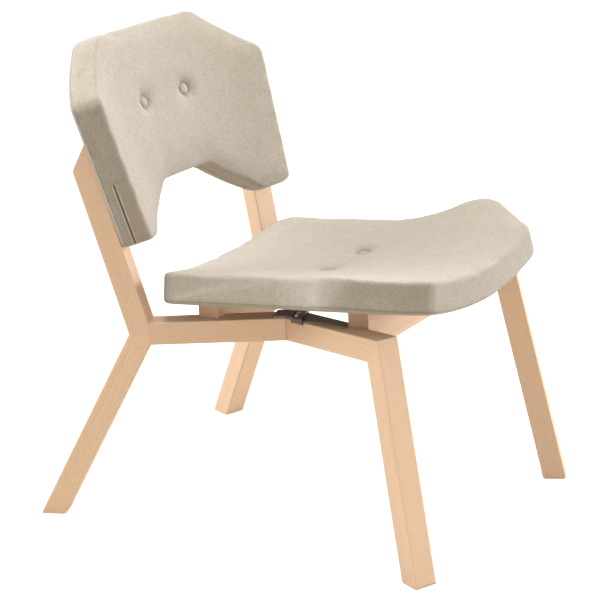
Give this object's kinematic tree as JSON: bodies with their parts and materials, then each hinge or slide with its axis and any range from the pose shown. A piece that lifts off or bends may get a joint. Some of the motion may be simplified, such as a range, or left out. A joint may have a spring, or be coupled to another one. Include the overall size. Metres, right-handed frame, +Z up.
{
  "type": "lounge chair",
  "caption": "Low lounge chair: V-shaped beech side frames carry a dished, padded seat and a notched, padded back with covered buttons.",
  "frame": {"origin": "on the floor, at the middle of the chair's footprint", "axes": "+Z up, the sitter faces -Y, +X to the sitter's left"},
  "size_m": [0.5688, 0.7377, 0.7856],
  "materials": {
    "beech": "clear matt oil on beech",
    "plywood": "raw pressed plywood",
    "wool": "beige melange wool felt cloth",
    "dark_steel": "dark grey satin coating",
    "zinc": "bright zinc plating"
  },
  "bodies": {
    "root": {"right_front_leg": "beech", "right_front_rail": "beech", "right_rear_rail": "beech", "right_rear_leg": "beech", "right_back_post": "beech", "left_front_leg": "beech", "left_front_rail": "beech", "left_rear_rail": "beech", "left_rear_leg": "beech", "left_back_post": "beech", "front_cross_beam": "beech", "rear_cross_beam": "beech", "right_frame_dowels": "beech", "left_frame_dowels": "beech", "beam_dowels": "beech", "seat_shell": "plywood", "back_shell": "plywood", "seat_top_pad": "wool", "seat_bottom_pad": "wool", "seat_buttons": "wool", "back_front_pad": "wool", "back_rear_pad": "wool", "back_buttons": "wool", "right_splice_plate": "dark_steel", "left_splice_plate": "dark_steel", "right_splice_clamp": "dark_steel", "left_splice_clamp": "dark_steel", "plate_screws": "dark_steel", "clamp_screws": "zinc", "seat_bolts": "zinc", "seat_tee_nuts": "zinc", "back_bolts": "zinc", "back_tee_nuts": "zinc"}
  },
  "joints": []
}
